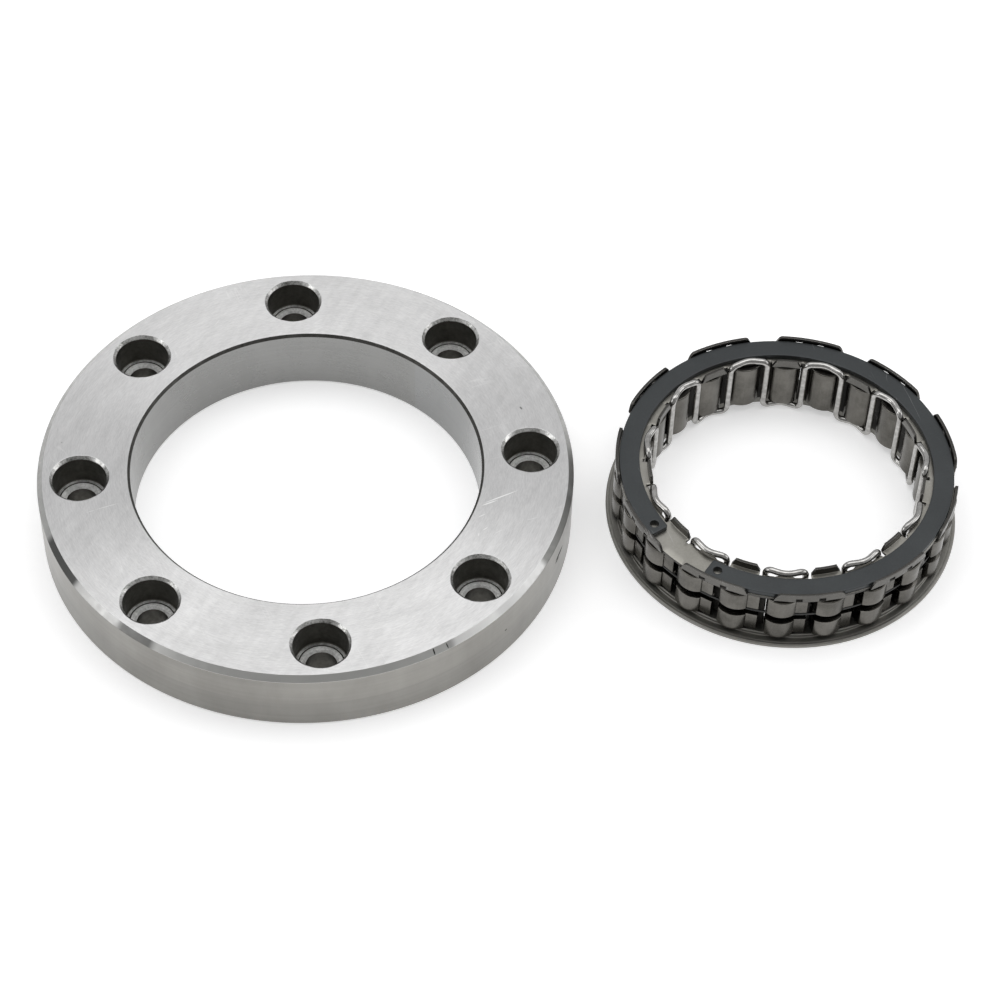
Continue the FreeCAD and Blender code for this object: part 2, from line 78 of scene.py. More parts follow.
def roundedPath(corners, radii, steps=5, hold=0.0, closed=True):
    # Each corner of a line becomes an arc. Its centre lies on the corner's bisector, and its points
    # turn evenly from the end of one straight run to the start of the next. A holding point before
    # and after each arc keeps the flats flat in the shading.
    corners = np.asarray(corners, float)
    radii = np.broadcast_to(np.asarray(radii, float), len(corners))
    back = np.roll(corners, 1, 0) - corners
    ahead = np.roll(corners, -1, 0) - corners
    aheadLength = np.linalg.norm(ahead, axis=1)
    back, ahead = unit(back), unit(ahead)
    half = np.arccos(np.clip((back * ahead).sum(1), -1, 1)) / 2
    reach = radii / np.tan(half)
    bisector = back + ahead
    bisector /= np.maximum(np.linalg.norm(bisector, axis=1), 1e-9)[:, None]
    centre = corners + bisector * (radii / np.sin(half))[:, None]
    start = corners + back * reach[:, None] - centre
    end = corners + ahead * reach[:, None] - centre
    turn = (np.pi - 2 * half)[None, :, None]
    share = np.linspace(0, 1, steps + 1)[:, None, None]
    sweep = np.sin((1 - share) * turn) * start + np.sin(share * turn) * end
    arc = centre + sweep / np.maximum(np.sin(turn), 1e-6)
    if hold:
        freeAhead = aheadLength - reach - np.roll(reach, -1)
        afterHold = np.minimum(hold, freeAhead / 3)
        beforeHold = np.roll(afterHold, 1)
        before = corners + back * (reach + beforeHold)[:, None]
        after = corners + ahead * (reach + afterHold)[:, None]
        arc = np.concatenate([before[None], arc, after[None]])
    path = arc.transpose(1, 0, 2)
    if closed:
        path = path.reshape(-1, corners.shape[1])
        gaps = np.linalg.norm(np.roll(path, -1, 0) - path, axis=1)
        return path[gaps > 1e-5]
    path = np.concatenate([corners[:1], path[1:-1].reshape(-1, corners.shape[1]), corners[-1:]])
    gaps = np.linalg.norm(np.diff(path, axis=0), axis=1)
    return path[np.append(gaps > 1e-5, True)]


def quarterRound(radius):
    # how far an edge's quarter circle lies in from the side and in from the end
    curve = np.linspace(0, quarterTurn, 5)
    return radius * (1 - np.sin(curve)), radius * (1 - np.cos(curve))


def outlineNormals(outline):
    # outward directions of a closed anticlockwise outline: its run, turned a quarter to the right
    along = unit(np.roll(outline, -1, 0) - np.roll(outline, 1, 0))
    return joined(along[:, 1], -along[:, 0])


def revolved(profile, angles, centre=0.0):
    # every (radius, height) of the profile is turned about the upright axis to each angle
    radius, height = profile[:, 0][:, None], profile[:, 1][:, None]
    return joined(centre + radius * np.cos(angles), radius * np.sin(angles), height)


def stacked(outlines, heights):
    # a plane outline for each height becomes one row of a grid
    return joined(outlines[..., 0], outlines[..., 1], heights[:, None])


def turned(points, angle, centre=0.0):
    # points turned about the upright axis, then moved out along X
    cosine, sine = np.cos(angle), np.sin(angle)
    x, y, z = np.moveaxis(points, -1, 0)
    return joined(x * cosine - y * sine + centre, x * sine + y * cosine, z)


class Surface:
    # points and faces of one piece, gathered from grids and caps
    def __init__(self):
        self.points, self.faces, self.finishes, self.count = [], [], [], 0

    def take(self, points, faces, finish):
        self.points.append(points.reshape(-1, 3))
        self.faces.append(faces)
        self.finishes.append(np.broadcast_to(finish, len(faces)))
        self.count += self.points[-1].shape[0]

    def addGrid(self, grid, finish=0, closeRows=False, closeColumns=False, keep=None):
        # squares between neighbouring points; finish is one number, or one for each strip of rows
        rows, columns = grid.shape[:2]
        index = self.count + np.arange(rows * columns).reshape(rows, columns)
        index = np.vstack([index, index[:1]]) if closeRows else index
        index = np.hstack([index, index[:, :1]]) if closeColumns else index
        squares = np.stack([index[:-1, :-1], index[:-1, 1:], index[1:, 1:], index[1:, :-1]], -1)
        finish = np.broadcast_to(np.asarray(finish).reshape(-1, 1), squares.shape[:2])
        if keep is not None:
            squares, finish = squares[keep], finish[keep]
        self.take(grid, squares.reshape(-1, 4), finish.reshape(-1))

    def addCap(self, loop, finish=0):
        self.take(loop, self.count + np.arange(len(loop))[None], finish)

    def addTube(self, grid, capFinish=0):
        # a grid closed round its columns, with a cap at each end
        self.addGrid(grid, closeColumns=True)
        self.addCap(grid[0], capFinish)
        self.addCap(grid[-1], capFinish)

    def build(self, name, used, body, node, sharp=38, outward=True):
        mesh = bpy.data.meshes.new(name)
        points = np.concatenate(self.points) * mm
        mesh.vertices.add(len(points))
        mesh.vertices.foreach_set("co", points.astype(np.float32).ravel())
        corners = np.concatenate([faces.ravel() for faces in self.faces])
        sizes = np.concatenate([np.full(len(faces), faces.shape[1]) for faces in self.faces])
        mesh.loops.add(len(corners))
        mesh.loops.foreach_set("vertex_index", corners.astype(np.int32))
        mesh.polygons.add(len(sizes))
        mesh.polygons.foreach_set("loop_start", (np.cumsum(sizes) - sizes).astype(np.int32))
        mesh.polygons.foreach_set("material_index", np.concatenate(self.finishes).astype(np.int32))
        mesh.update(calc_edges=True)
        tidy = bmesh.new()
        tidy.from_mesh(mesh)
        bmesh.ops.remove_doubles(tidy, verts=tidy.verts, dist=2e-4 * mm)
        if outward:
            bmesh.ops.recalc_face_normals(tidy, faces=tidy.faces)
        tidy.to_mesh(mesh)
        tidy.free()
        mesh.shade_smooth()
        mesh.set_sharp_from_angle(angle=np.radians(sharp))
        for finish in used:
            mesh.materials.append(finishes[finish])
        piece = addObject(name, mesh)
        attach(piece, body)
        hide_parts(node)
        return piece


drawing = {}  # the node tree that the helpers below add to, its finish and its coordinates


def openTree(owner):
    # the emptied node tree of a material or world
    owner.use_nodes = True
    owner.node_tree.nodes.clear()
    drawing["tree"] = owner.node_tree


def feed(node, name, value):
    # a link from a socket, or else a plain value
    if isinstance(value, bpy.types.NodeSocket):
        drawing["tree"].links.new(value, node.inputs[name])
    else:
        node.inputs[name].default_value = value


def addNode(kind, inputs=None, **settings):
    # one shader node, with its settings, plain input values and links
    made = drawing["tree"].nodes.new("ShaderNode" + kind)
    for key, value in settings.items():
        setattr(made, key, value)
    for key, value in (inputs or {}).items():
        feed(made, key, value)
    return made


def newMaterial(name):
    made = bpy.data.materials.new(name)
    openTree(made)
    drawing["place"] = addNode("TexCoord").outputs["Object"]
    return made


def newFinish(name):
    # starts a finish and returns its shader
    drawing["finish"] = newMaterial(name)
    shader = addNode("BsdfPrincipled")
    addNode("OutputMaterial", {"Surface": shader.outputs["BSDF"]})
    return shader


def noise(scale, detail=3.0, stretch=(1, 1, 1), turn=(0, 0, 0), roughness=0.5):
    # noise whose grain may be stretched and turned
    settings = {"Vector": drawing["place"], "Scale": stretch, "Rotation": turn}
    mapped = addNode("Mapping", settings, vector_type="TEXTURE").outputs["Vector"]
    settings = {"Vector": mapped, "Scale": scale, "Detail": detail, "Roughness": roughness}
    return addNode("TexNoise", settings).outputs["Fac"]


def mapRange(value, low, high, newLow=0.0, newHigh=1.0, smooth=False):
    settings = {
        "Value": value, "From Min": low, "From Max": high, "To Min": newLow, "To Max": newHigh,
    }
    kind = "SMOOTHSTEP" if smooth else "LINEAR"
    return addNode("MapRange", settings, interpolation_type=kind).outputs["Result"]


def maths(operation, first, second=0.0):
    return addNode("Math", {0: first, 1: second}, operation=operation).outputs[0]


def vectorMaths(operation, first, second=(0, 0, 0), result="Vector"):
    settings = {0: first, 1: second}
    return addNode("VectorMath", settings, operation=operation).outputs[result]


def combined(operation, values):
    # one value out of several, taken one after another
    return reduce(lambda found, value: maths(operation, found, value), values)


def weighted(*parts):
    # sum of several values, each times its share
    return combined("ADD", (maths("MULTIPLY", value, share) for value, share in parts))


def mixColour(amount, first, second):
    made = addNode("Mix", {0: amount}, data_type="RGBA")
    for socket, value in ((6, first), (7, second)):
        feed(made, socket, (*value, 1) if isinstance(value, tuple) else value)
    return made.outputs[2]


def bump(height, strength, distance=hairDepth):
    settings = {"Height": height, "Strength": strength, "Distance": distance}
    return addNode("Bump", settings).outputs["Normal"]


def dress(shader, colour, roughness, normal, metallic=1.0):
    # what every finish here gives its shader; hands back the finish itself
    feed(shader, "Base Color", colour)
    feed(shader, "Roughness", roughness)
    feed(shader, "Normal", normal)
    feed(shader, "Metallic", metallic)
    return drawing["finish"]


def fineLines(scale, stretch, turn, width, patchScale, patchFrom, patchTo):
    # thin streaks, a narrow band round the middle value of a stretched noise, seen only in patches
    streaks = noise(scale, 2.0, (stretch, 1, 1), (0, 0, turn))
    distance = maths("ABSOLUTE", maths("SUBTRACT", streaks, 0.5))
    streaks = mapRange(distance, 0.0, width, 1.0, 0.0)
    return maths("MULTIPLY", streaks, mapRange(noise(patchScale, 1.0), patchFrom, patchTo))


def ringGrain(around, across, detail=3.0, roughness=0.55):
    # Noise drawn out round the upright axis. Its point is the direction from the axis times one
    # number, and the distance from the axis times another.
    flat = vectorMaths("MULTIPLY", drawing["place"], (1, 1, 0))
    distance = vectorMaths("LENGTH", flat, result="Value")
    direction = vectorMaths("NORMALIZE", flat)
    wide = vectorMaths("MULTIPLY", direction, (around,) * 3)
    depth = maths("MULTIPLY", distance, across)
    out = addNode("CombineXYZ", {"Z": depth}).outputs["Vector"]
    point = vectorMaths("ADD", wide, out)
    settings = {"Vector": point, "Scale": 1.0, "Detail": detail, "Roughness": roughness}
    return addNode("TexNoise", settings).outputs["Fac"]


def markAt(at, size, turn):
    # 1 inside an ellipsoid of this size about a point, in millimetres, and 0 outside it
    settings = {
        "Vector": drawing["place"], "Rotation": (0, 0, turn),
        "Location": tuple(c * mm for c in at), "Scale": tuple(c * mm / 2 for c in size),
    }
    mapped = addNode("Mapping", settings, vector_type="TEXTURE").outputs["Vector"]
    return mapRange(vectorMaths("LENGTH", mapped, result="Value"), 0.55, 1.0, 1.0, 0.0)


def allMarks(marks):
    # the strongest of several marks; each is (place, size, turn, strength)
    return combined("MAXIMUM", (
        maths("MULTIPLY", markAt(at, size, turn), strength) for at, size, turn, strength in marks
    ))


def groundSteel():
    # the race's flat faces: pale ground steel with fine strokes round the ring and a few scratches
    look = {
        "dark": (0.585, 0.583, 0.578),
        "light": (0.765, 0.762, 0.756),
        "scratch": (1.0, 1.0, 0.99),
        "pit": (0.12, 0.12, 0.12),
        "top": 15.2,
        "markDepth": 2.0,
        "roughness": (0.44, 0.38),
        "anisotropy": 0.8,
        "rotation": 0.25,
        "scratches": [
            (41.1, -9.2, 9.0, 0.36, 0.45, 1.0),
            (38.6, -10.9, 4.0, 0.40, 0.42, 0.9),
            (47.5, -15.2, 3.0, 0.14, 0.30, 0.5),
            (37.0, -14.3, 2.0, 0.24, 0.50, 0.7),
            (-41.3, -11.7, 5.6, 0.16, 0.36, 0.7),
            (-44.6, -13.0, 2.2, 0.14, 0.40, 0.6),
            (37.6, -17.9, 1.6, 0.22, 0.70, 0.7),
            (36.2, -19.4, 1.3, 0.20, 1.30, 0.6),
            (40.5, -18.6, 2.4, 0.14, 0.55, 0.5),
            (12.0, 48.6, 3.4, 0.14, 0.20, 0.4),
            (-20.5, 41.0, 2.8, 0.12, 1.00, 0.4),
        ],
        "pits": [
            (45.9, 15.75, 0.5, 1.1, 0.5, 0.8),
            (33.0, 37.5, 0.4, 0.5, 0.0, 0.5),
            (-52.0, 6.0, 0.35, 0.5, 0.0, 0.4),
        ],
    }
    shader = newFinish("groundSteel")
    strokes = ringGrain(26, 4200, 3.0)
    hairs = ringGrain(60, 9000, 2.0)
    crossed = noise(620, 3.0, (1, 5, 1), (0, 0, -0.5), 0.6)
    bands = ringGrain(3, 420, 2.0)
    broad = noise(40, 3.0)
    tone = weighted((strokes, 0.42), (hairs, 0.28), (crossed, 0.30))
    slow = weighted((broad, 0.30), (bands, 0.22))
    tone = maths("ADD", tone, maths("SUBTRACT", slow, 0.26))
    tone = mapRange(tone, 0.33, 0.67)
    colour = mixColour(tone, look["dark"], look["light"])
    lines = combined("MAXIMUM", (
        fineLines(scale, 10, turn, 0.012, scale / 3, 0.55, 0.66)
        for turn, scale in ((0.35, 260), (1.95, 320))
    ))
    colour = mixColour(maths("MULTIPLY", lines, 0.22), colour, look["scratch"])

    def onFace(marks):
        # each mark is (x, y, length, width, turn, strength)
        return allMarks([
            ((x, y, look["top"]), (length, width, look["markDepth"]), turn, strength)
            for x, y, length, width, turn, strength in marks
        ])

    scratches, pits = onFace(look["scratches"]), onFace(look["pits"])
    colour = mixColour(scratches, colour, look["scratch"])
    colour = mixColour(pits, colour, look["pit"])
    marks = maths("ADD", scratches, pits)
    cuts = maths("ADD", maths("MULTIPLY", lines, 0.3), marks)
    relief = bump(maths("SUBTRACT", tone, cuts), 0.12)
    finish = dress(shader, colour, mapRange(tone, 0, 1, *look["roughness"]), relief)
    feed(shader, "Anisotropic", look["anisotropy"])
    feed(shader, "Anisotropic Rotation", look["rotation"])
    tangent = addNode("Tangent", direction_type="RADIAL", axis="Z")
    feed(shader, "Tangent", tangent.outputs["Tangent"])
    return finish


deepCut = (0.03, 0.03, 0.028)  # colour at the bottom of a nick


def turnedSteel(name, dark, light, roughness, lineScale=900.0, split=None, side=None, nicks=()):
    # A turned wall: fine level lines round the ring over slow changes of tone. A split darkens what
    # lies below a height. A side is a painted reflection: it tints what lies past an upright line
    # on the wall.
    shader = newFinish(name)
    lines = noise(lineScale, 3.0, (40, 40, 1), roughness=0.6)
    broad = noise(45, 3.0, (1, 1, 1.6))
    rubbed = noise(160, 4.0, (1, 1, 2.5), roughness=0.6)
    tone = mapRange(weighted((lines, 0.22), (broad, 0.48), (rubbed, 0.30)), 0.36, 0.64)
    colour = mixColour(tone, dark, light)
    if split:
        height = addNode("SeparateXYZ", {"Vector": drawing["place"]}).outputs["Z"]
        lower = mapRange(height, split["height"] - split["blur"], split["height"], 1.0, 0.0)
        lower = maths("MULTIPLY", lower, split["amount"])
        colour = mixColour(lower, colour, split["colour"])
    if side:
        # painted reflection: a lighter, bluer tint past an upright line on the wall, growing out
        # from the axis on that side
        out = (np.cos(side["angle"]), np.sin(side["angle"]), 0.0)
        across = (out[1], -out[0], 0.0)
        past = vectorMaths("DOT_PRODUCT", drawing["place"], across, "Value")
        near = vectorMaths("DOT_PRODUCT", drawing["place"], out, "Value")
        past = mapRange(past, -side["blur"], side["blur"])
        near = mapRange(near, 0.0, side["fade"])
        amount = maths("MULTIPLY", maths("MULTIPLY", past, near), side["amount"])
        colour = mixColour(amount, colour, side["colour"])
    dullness = mapRange(tone, 0, 1, roughness + 0.05, roughness - 0.03)
    metallic = 1.0
    if nicks:
        marks = allMarks(nicks)
        colour = mixColour(marks, colour, deepCut)
        dullness = maths("ADD", dullness, marks)
        metallic = maths("SUBTRACT", 1.0, marks)
    return dress(shader, colour, dullness, bump(lines, 0.03), metallic)


def arcPatch(start, end, blur=1.2):
    # 1 between two angles round the upright axis (degrees, anticlockwise from X) and 0 outside them
    parts = addNode("SeparateXYZ", {"Vector": drawing["place"]})
    turn = maths("ARCTAN2", parts.outputs["Y"], parts.outputs["X"])
    start, end, blur = np.radians(start), np.radians(end), np.radians(blur)
    opened = mapRange(turn, start - blur, start + blur, smooth=True)
    closed = mapRange(turn, end - blur, end + blur, 1.0, 0.0, smooth=True)
    return maths("MULTIPLY", opened, closed)


def nickedSteel(
    name, dark, light, roughness, scale=1500.0, metallic=1.0, relief=0.4, paintedReflections=(), cuts=()
):
    # Machined edges with small bright and dark nicks. Painted reflections lie on stretches of the
    # rim, light and dark; each is (start, end, colour, amount), with its two angles in degrees.
    shader = newFinish(name)
    nicks = noise(scale, 5.0, roughness=0.7)
    broad = noise(scale / 6, 2.0)
    tone = mapRange(weighted((nicks, 0.6), (broad, 0.4)), 0.38, 0.62)
    colour = mixColour(tone, dark, light)
    # painted reflections: light and dark stretches of colour round the rim
    for start, end, reflectionTone, amount in paintedReflections:
        patch = maths("MULTIPLY", arcPatch(start, end), amount)
        colour = mixColour(patch, colour, reflectionTone)
    if cuts:
        colour = mixColour(allMarks(cuts), colour, deepCut)
    dullness = mapRange(nicks, 0.3, 0.7, roughness + 0.1, roughness - 0.05)
    return dress(shader, colour, dullness, bump(nicks, relief, 3 * hairDepth), metallic)


def oxideSteel(name, dark, light, roughness, scratch=(0.3, 0.3, 0.3), metallic=1.0):
    # blackened sheet or spring steel: nearly even, with soft clouds and a few pale scratches
    shader = newFinish(name)
    cloud = noise(90, 4.0, roughness=0.6)
    grain = noise(2600, 2.0)
    tone = mapRange(weighted((cloud, 0.7), (grain, 0.3)), 0.35, 0.65)
    colour = mixColour(tone, dark, light)
    lines = fineLines(300, 7, 1.9, 0.008, 90, 0.62, 0.70)
    colour = mixColour(maths("MULTIPLY", lines, 0.8), colour, scratch)
    dullness = mapRange(cloud, 0.3, 0.7, roughness + 0.06, roughness - 0.04)
    return dress(shader, colour, dullness, bump(grain, 0.2), metallic)


def hardenedSteel(name, dark, light, roughness, streak=(0.3, 0.3, 5.0)):
    # hardened and tumbled sprag steel: brown-grey, with very faint streaks along the sprag
    shader = newFinish(name)
    cloud = noise(150, 4.0, roughness=0.6)
    streaks = noise(700, 3.0, streak, roughness=0.6)
    grain = noise(2200, 3.0)
    tone = weighted((cloud, 0.7), (streaks, 0.14), (grain, 0.16))
    colour = mixColour(mapRange(tone, 0.38, 0.62), dark, light)
    dullness = mapRange(cloud, 0.3, 0.7, roughness + 0.05, roughness - 0.05)
    return dress(shader, colour, dullness, bump(grain, 0.12))


def springWire():
    # drawn wire: bright, with fine drawing marks
    look = {
        "dark": (0.35, 0.344, 0.332),
        "light": (0.50, 0.492, 0.476),
        "roughness": (0.17, 0.11),
    }
    shader = newFinish("springWire")
    marks = noise(1100, 3.0)
    colour = mixColour(mapRange(marks, 0.35, 0.65), look["dark"], look["light"])
    dullness = mapRange(marks, 0.3, 0.7, *look["roughness"])
    return dress(shader, colour, dullness, bump(marks, 0.06))


finishes = {
    "face": groundSteel(),
    "wall": turnedSteel(
        "turnedWall", (0.235, 0.228, 0.212), (0.325, 0.317, 0.296), 0.30,
        split={
            "height": 7.2 * mm, "blur": 0.3 * mm,
            "amount": 0.16, "colour": (0.17, 0.17, 0.165),
        },
        nicks=[
            ((53.2, -19.7, 9.3), (5.0, 1.8, 0.9), 1.22, 1.0),
            ((52.7, -21.0, 8.6), (2.4, 1.6, 0.7), 1.20, 0.9),
            ((41.6, -38.6, 7.6), (0.8, 0.8, 0.5), 0, 0.8),
        ],
    ),
    "bore": turnedSteel(
        "groundBore", (0.256, 0.256, 0.250), (0.296, 0.296, 0.290), 0.26, 1500.0,
        # side: a painted reflection, a lighter, bluer tint on the bore past an upright line at 51.6
        # degrees
        side={
            "angle": np.radians(51.6), "blur": 0.1 * mm, "fade": 20 * mm,
            "amount": 0.28, "colour": (0.335, 0.345, 0.355),
        },
    ),
    "boreEdge": nickedSteel(
        "boreEdge", (0.045, 0.044, 0.040), (0.085, 0.083, 0.078), 0.50, 1500.0, 0.8, 0.2,
    ),
    "chamfer": nickedSteel(
        "rimChamfer", (0.33, 0.33, 0.32), (0.40, 0.40, 0.39), 0.34, 700.0, 1.0, 0.08,
        # painted reflections on the chamfer, light and dark, stretch by stretch round the rim
        paintedReflections=[
            (-159.3, -145.4, (0.070, 0.070, 0.068), 0.95),
            (-145.4, -131.2, (0.47, 0.47, 0.46), 0.9),
            (-131.2, -122.0, (0.13, 0.13, 0.125), 0.8),
            (-122.0, -58.0, (0.62, 0.62, 0.60), 0.8),
            (-57.0, -43.0, (0.88, 0.88, 0.86), 0.95),
            (-45.0, -27.9, (0.66, 0.66, 0.65), 0.9),
            (-27.9, -8.4, (0.22, 0.22, 0.21), 0.8),
        ],
        cuts=[
            ((26.7, -49.4, 14.6), (0.42, 1.6, 2.2), 0.45, 1.0),
            ((29.4, -47.9, 14.6), (0.36, 1.4, 1.6), 0.65, 0.9),
        ],
    ),
    "mouth": nickedSteel("holeMouth", (0.16, 0.16, 0.15), (0.80, 0.80, 0.78), 0.30, 1700.0),
    "holeWall": nickedSteel("holeWall", (0.095, 0.092, 0.080), (0.140, 0.136, 0.122), 0.42, 900.0),
    # the counterbore's floor is made nearly white: painted light that lifts it out of the hole's
    # shade
    "holeFloorPaintedLight": nickedSteel("holeFloorPaintedLight", (0.55, 0.55, 0.53), (0.97, 0.97, 0.95), 0.5, 1600.0, 0.2),
    "holeRing": nickedSteel("holeRing", (0.26, 0.26, 0.25), (0.78, 0.78, 0.76), 0.45, 1500.0, 0.3),
    "flange": oxideSteel(
        "lowerPlateSteel", (0.21, 0.205, 0.187), (0.27, 0.264, 0.244), 0.42, metallic=0.95,
    ),
    "bar": oxideSteel("barSteel", (0.028, 0.027, 0.024), (0.045, 0.043, 0.039), 0.55, metallic=0.7),
    "plate": oxideSteel(
        "upperPlateSteel", (0.27, 0.262, 0.235), (0.34, 0.33, 0.30), 0.36, (0.5, 0.5, 0.5),
    ),
    # the tabs' steel is the plate's steel painted darker: painted shade on the bent-up faces
    "tab": oxideSteel(
        "tabSteelShaded", (0.105, 0.102, 0.095), (0.150, 0.146, 0.136), 0.26, (0.4, 0.4, 0.4),
    ),
    "cutEdge": oxideSteel("shearedEdge", (0.060, 0.058, 0.054), (0.095, 0.092, 0.086), 0.34),
    # bright steel on the bevelled edges: partly wear, partly a painted highlight along them
    "wornEdgeAndHighlight": oxideSteel(
        "wornEdgeAndHighlight", (0.34, 0.335, 0.32), (0.52, 0.51, 0.49), 0.30, (0.7, 0.7, 0.7),
    ),
    "ring": oxideSteel(
        "blackSpringSteel", (0.044, 0.048, 0.050), (0.055, 0.060, 0.062), 0.40,
        (0.25, 0.25, 0.25), 0.6,
    ),
    "band": oxideSteel("bandSteel", (0.03, 0.03, 0.03), (0.06, 0.06, 0.058), 0.4, metallic=0.9),
    "sprag": hardenedSteel("spragSteel", (0.090, 0.086, 0.077), (0.165, 0.158, 0.144), 0.24),
    # darker steel on the sprags' end faces: painted shade that stands for the shadow under the
    # plates
    "spragEndShade": hardenedSteel(
        "spragEndShade", (0.050, 0.047, 0.042), (0.100, 0.096, 0.088), 0.38, (6.0, 0.3, 1.0),
    ),
    "wire": springWire(),
}
print("finishes made")


def holePatch(centre, boundary, boundaryHeights, mouthPath, rings):
    # From each point of a closed boundary a line runs in to the hole's axis. The face's points
    # share that line out down to the hole's edge, and the hole's (radius, height) path follows.
    away = boundary - centre
    length = np.linalg.norm(away, axis=1)
    away /= length[:, None]
    share = np.linspace(0, 1, rings)[:, None]
    topRadius = length * (1 - share) + mouthPath[0, 0] * share
    endRadius = length * share + mouthPath[-1, 0] * (1 - share)
    holeRadius = np.broadcast_to(mouthPath[:, :1], (len(mouthPath), len(boundary)))
    radius = np.concatenate([topRadius[:-1], holeRadius, endRadius[1:]])
    first, last = (np.full(rings - 1, height) for height in boundaryHeights)
    height = np.concatenate([first, mouthPath[:, 1], last])
    return stacked(centre + away * radius[..., None], height)


def makeRace():
    # Revolved rim and bore, closed by eight sectors of face that each hold one counterbored hole.
    size = {
        "bore": 37.2, "rimChamfer": 1.15, "boreChamfer": 0.55, "footChamfer": 0.4,
        "holes": 8, "firstHole": np.radians(4.65), "holeCircle": 47.8,
        "throughRadius": 3.3, "counterboreRadius": 5.7, "counterboreDepth": 7.0,
        "mouthChamfer": 0.6, "throughChamfer": 0.45, "edge": 0.1, "margin": 0.8,
        "floorGroove": 4.70, "grooveWidth": 0.15, "grooveDepth": 0.26,
        "outerPoints": 45, "innerPoints": 37, "sidePoints": 17, "rings": 5,
    }
    names = [
        "face", "wall", "bore", "mouth", "holeWall", "holeFloorPaintedLight", "chamfer", "boreEdge", "holeRing",
    ]
    number = {name: index for index, name in enumerate(names)}
    high = nodeBox("outer_race")[1]
    rim, top = high[0], high[2]
    margin, footChamfer = size["margin"], size["footChamfer"]

    def wallPath(radius, chamfer, sign):
        # from a margin of the top face over its chamfer, down the wall, to a margin underneath
        face, foot = radius - sign * chamfer, radius - sign * footChamfer
        corners = [
            (face - sign * margin, top), (face, top), (radius, top - chamfer),
            (radius, footChamfer), (foot, 0), (foot - sign * margin, 0),
        ]
        return roundedPath(corners, size["edge"], 3, 0.12, closed=False)

    rimPath = wallPath(rim, size["rimChamfer"], 1)
    borePath = wallPath(size["bore"], size["boreChamfer"], -1)
    mouth = size["counterboreRadius"] + size["mouthChamfer"]
    floor = top - size["counterboreDepth"]
    seat, through = size["counterboreRadius"], size["throughRadius"]
    lip, groove, width = size["throughChamfer"], size["floorGroove"], size["grooveWidth"]
    corners = [
        (mouth + 0.4, top), (mouth, top), (seat, top - size["mouthChamfer"]), (seat, floor),
        (groove + width, floor), (groove, floor - size["grooveDepth"]), (groove - width, floor),
        (through + lip, floor), (through, floor - lip),
        (through, 0.3), (through + 0.3, 0), (through + 0.7, 0),
    ]
    radii = [0, 0.08, 0.1, 0.3, 0.05, 0.05, 0.05, 0.06, 0.06, 0.06, 0.06, 0]
    holePath = roundedPath(corners, radii, 3, 0.1, closed=False)
    pitch = fullTurn / size["holes"]
    outerTurn = np.linspace(-pitch / 2, pitch / 2, size["outerPoints"])
    innerTurn = np.linspace(pitch / 2, -pitch / 2, size["innerPoints"])
    side = np.linspace(0, 1, size["sidePoints"])[1:-1]
    surface = Surface()

    def sector(innerRadius, outerRadius):
        # anticlockwise: outer arc, in along one side, back on the inner arc, out along the other
        inward = outerRadius + (innerRadius - outerRadius) * side
        return np.concatenate([
            onCircle(outerRadius, outerTurn), onCircle(inward, pitch / 2),
            onCircle(innerRadius, innerTurn), onCircle(inward[::-1], -pitch / 2),
        ])

    faceLoop = sector(borePath[0, 0], rimPath[0, 0])
    centre = np.array([size["holeCircle"], 0.0])
    rings = size["rings"]
    patch = holePatch(centre, faceLoop, (top, 0.0), holePath, rings)
    footLoop = sector(borePath[-1, 0], rimPath[-1, 0])
    share = np.linspace(0, 1, rings)[1:, None, None]
    underHole = patch[-rings, :, :2]
    patch[-rings + 1:, :, :2] = underHole * (1 - share) + footLoop * share
    radius = np.linalg.norm(patch[:, 0, :2] - centre, axis=-1)
    height = patch[:, 0, 2]
    middle = (height[:-1] + height[1:]) / 2
    narrow = (radius[:-1] + radius[1:]) / 2
    inMouth = (narrow < mouth + 0.05) & (middle > top - size["mouthChamfer"] - 0.1)
    onFloor = (np.abs(middle - floor) < lip) & (narrow < seat - 0.25)
    flat = (middle > top - 0.03) | (middle < 0.03)
    inGroove = onFloor & (np.abs(narrow - groove) < width)
    outerFloor = onFloor & (narrow > groove)
    finish = np.select(
        [inMouth & ~flat, inGroove, outerFloor, onFloor, flat],
        [number[name] for name in ("mouth", "holeWall", "holeRing", "holeFloorPaintedLight", "face")],
        number["holeWall"],
    )
    away = unit(faceLoop - centre)
    around = np.arctan2(faceLoop[:, 1], faceLoop[:, 0] - centre[0])
    nearMouth = np.exp(-(((radius - mouth) / 0.35) ** 2 + ((height - top) / 0.3) ** 2))
    for hole in range(size["holes"]):
        # the worn mouth is pushed out and in by three waves round the hole, different at each hole
        uneven = 0.035 * np.sin(3 * around + hole) + 0.03 * np.sin(7 * around + 2.3 * hole)
        uneven += 0.02 * np.sin(17 * around + 1.7 * hole * hole)
        worn = patch.copy()
        worn[..., :2] += away * (nearMouth[:, None] * uneven)[..., None]
        surface.addGrid(turned(worn, size["firstHole"] + pitch * hole), finish, closeColumns=True)
    for path, turns, wall, corner in (
        (rimPath, outerTurn, "wall", "chamfer"), (borePath, innerTurn, "bore", "boreEdge"),
    ):
        middle = (path[:-1, 1] + path[1:, 1]) / 2
        slope = np.abs(np.diff(path[:, 0])) > 1e-3
        chamfer = top - (size["rimChamfer"] if wall == "wall" else size["boreChamfer"])
        finish = np.select(
            [middle > top - 0.02, slope & (middle > chamfer - 0.1), middle < 0.02],
            [number["face"], number[corner], number["face"]],
            number[wall],
        )
        for hole in range(size["holes"]):
            surface.addGrid(revolved(path, turns + size["firstHole"] + pitch * hole), finish)
    surface.build("raceRing", names, "race", "outer_race", 30)


makeRace()
print("race made")

